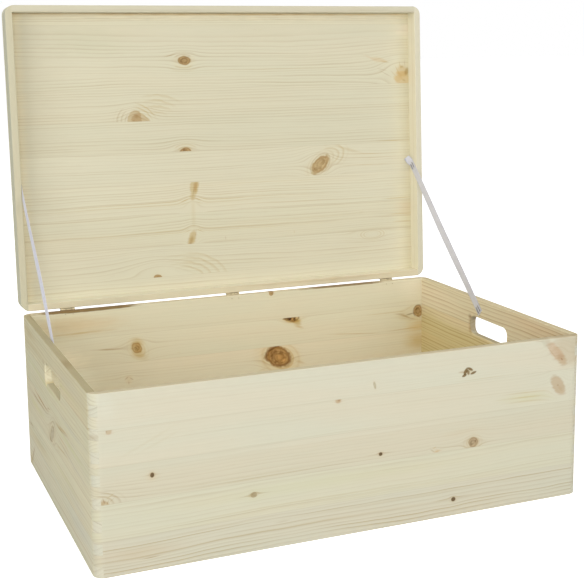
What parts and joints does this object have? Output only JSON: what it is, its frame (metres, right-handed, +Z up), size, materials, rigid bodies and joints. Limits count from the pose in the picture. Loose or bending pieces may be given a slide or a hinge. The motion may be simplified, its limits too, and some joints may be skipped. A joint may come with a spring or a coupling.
{
  "type": "wooden storage box",
  "caption": "Rectangular pine box with finger-jointed walls, a hand slot in each end and a hinged lid that ribbon straps hold open.",
  "frame": {"origin": "middle of the underside of the base", "axes": "+X along the length to the right, -Y to the front, +Z up; the hinges are at +Y"},
  "size_m": [0.6, 0.4505, 0.6015],
  "materials": {
    "pine_walls": "bare sanded pine",
    "pine_lid_rails": "bare sanded pine",
    "pine_lid_panel": "bare sanded pine",
    "plywood": "bare birch plywood",
    "hinge_brass": "brassed steel, a little dull",
    "brass_nails": "brassed steel",
    "staple_steel": "plain steel wire",
    "brad_steel": "plain steel",
    "white_ribbon": "woven white tape"
  },
  "bodies": {
    "base": {"back_stave_1": "pine_walls", "back_stave_2": "pine_walls", "back_stave_3": "pine_walls", "back_stave_4": "pine_walls", "back_stave_5": "pine_walls", "bottom_brads": "brad_steel", "bottom_panel": "plywood", "front_stave_1": "pine_walls", "front_stave_2": "pine_walls", "front_stave_3": "pine_walls", "front_stave_4": "pine_walls", "front_stave_5": "pine_walls", "hinge_left_base_leaf": "hinge_brass", "hinge_left_pin": "hinge_brass", "hinge_middle_base_leaf": "hinge_brass", "hinge_middle_pin": "hinge_brass", "hinge_nails_base": "brass_nails", "hinge_right_base_leaf": "hinge_brass", "hinge_right_pin": "hinge_brass", "left_stave_1": "pine_walls", "left_stave_2": "pine_walls", "left_stave_3": "pine_walls", "left_stave_4": "pine_walls", "left_stave_5": "pine_walls", "right_stave_1": "pine_walls", "right_stave_2": "pine_walls", "right_stave_3": "pine_walls", "right_stave_4": "pine_walls", "right_stave_5": "pine_walls", "strap_left": "white_ribbon", "strap_right": "white_ribbon", "strap_staples_base": "staple_steel"},
    "lid": {"hinge_left_lid_leaf": "hinge_brass", "hinge_middle_lid_leaf": "hinge_brass", "hinge_nails_lid": "brass_nails", "hinge_right_lid_leaf": "hinge_brass", "lid_back_rail": "pine_lid_rails", "lid_front_rail": "pine_lid_rails", "lid_left_rail": "pine_lid_rails", "lid_right_rail": "pine_lid_rails", "lid_stave_1": "pine_lid_panel", "lid_stave_10": "pine_lid_panel", "lid_stave_2": "pine_lid_panel", "lid_stave_3": "pine_lid_panel", "lid_stave_4": "pine_lid_panel", "lid_stave_5": "pine_lid_panel", "lid_stave_6": "pine_lid_panel", "lid_stave_7": "pine_lid_panel", "lid_stave_8": "pine_lid_panel", "lid_stave_9": "pine_lid_panel", "strap_staples_lid": "staple_steel"}
  },
  "joints": [
    {"name": "lid_hinge", "type": "hinge", "parent": "base", "child": "lid", "pos_m": [0, 0.202, 0.2], "axis": [1, 0, 0], "range_deg": [0, 92.6], "deforming": ["strap_left", "strap_right"]}
  ]
}
